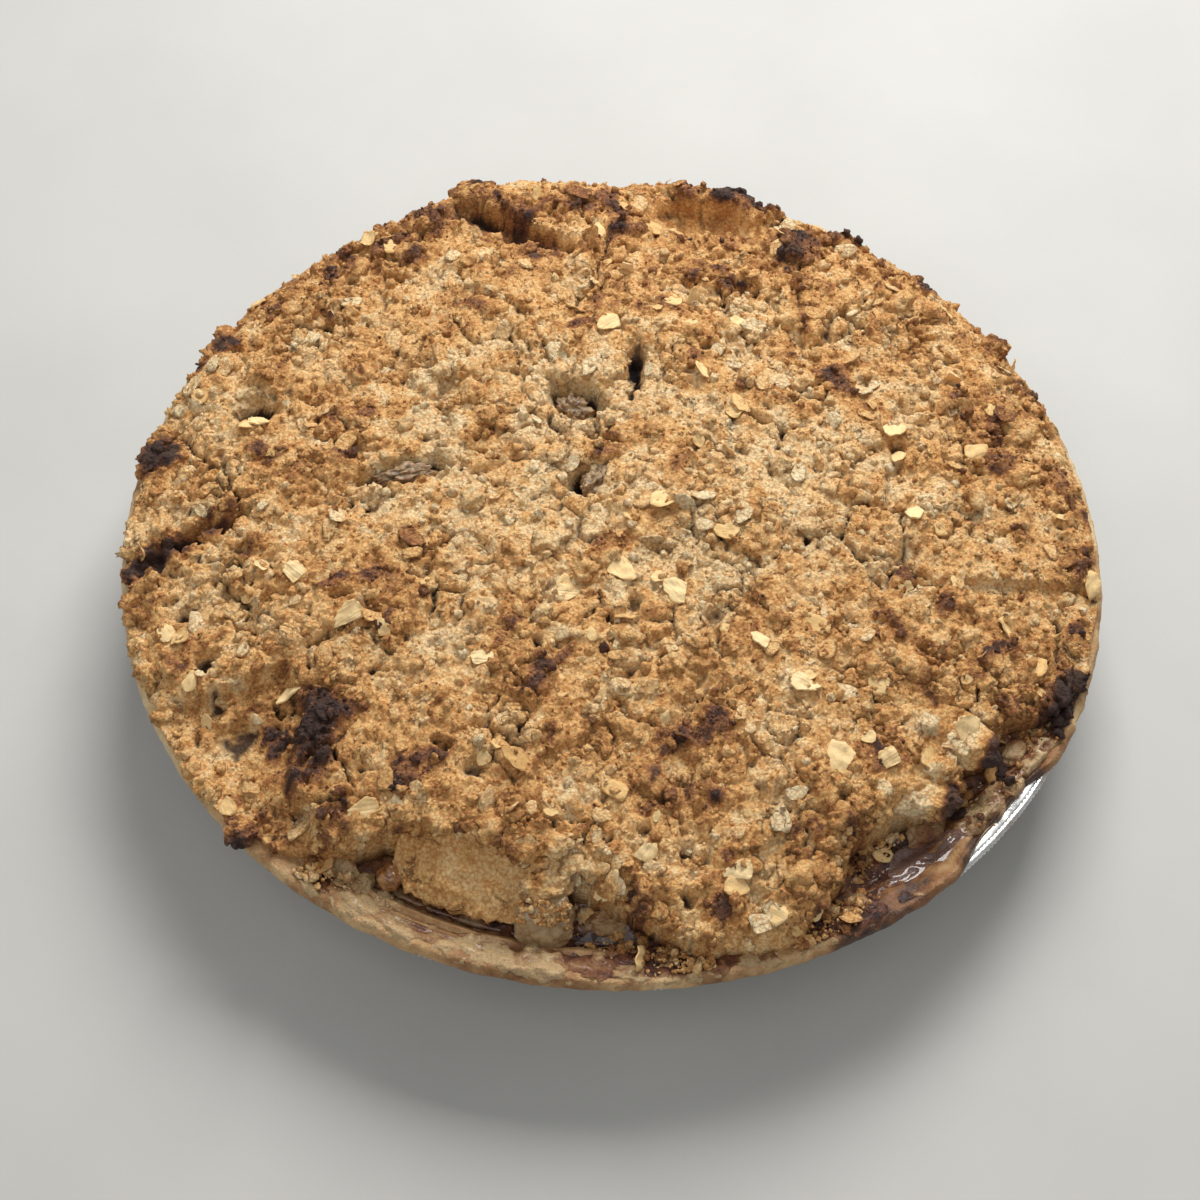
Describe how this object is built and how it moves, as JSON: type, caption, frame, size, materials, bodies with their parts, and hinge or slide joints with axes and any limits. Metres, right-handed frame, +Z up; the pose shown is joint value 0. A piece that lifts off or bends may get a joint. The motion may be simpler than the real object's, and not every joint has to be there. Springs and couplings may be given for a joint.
{
  "type": "apple pie",
  "caption": "Whole apple pie baked in a pleated foil tin, with a craggy browned oat crumble top; the crumble has broken away at the front edge and shows apple filling.",
  "frame": {"origin": "centre of the tin's flat base, at the level it stands on, which is the middle of the bounding box's bottom", "axes": "+Z up through the crumble; -Y towards the front, where the crumble has broken away from the filling; +X to the right as seen from the front"},
  "size_m": [0.23, 0.23, 0.0557],
  "materials": {
    "foil": "bright pressed foil",
    "baked_pastry": "matt, browned shortcrust",
    "stewed_apple": "wet, glossy cooked apple in thickened juice",
    "baked_crumble": "dry, rough oat crumble",
    "pale_apple": "moist cooked apple",
    "baked_apple": "moist browned apple",
    "caramel": "glossy set juice"
  },
  "bodies": {
    "root": {"foil_tin": "foil", "pastry_shell": "baked_pastry", "apple_filling": "stewed_apple", "crumble_topping": "baked_crumble", "apple_bit_back": "pale_apple", "apple_bit_middle": "pale_apple", "apple_bit_crack": "pale_apple", "apple_chunk_front": "baked_apple", "caramel_bead": "caramel"}
  },
  "joints": []
}
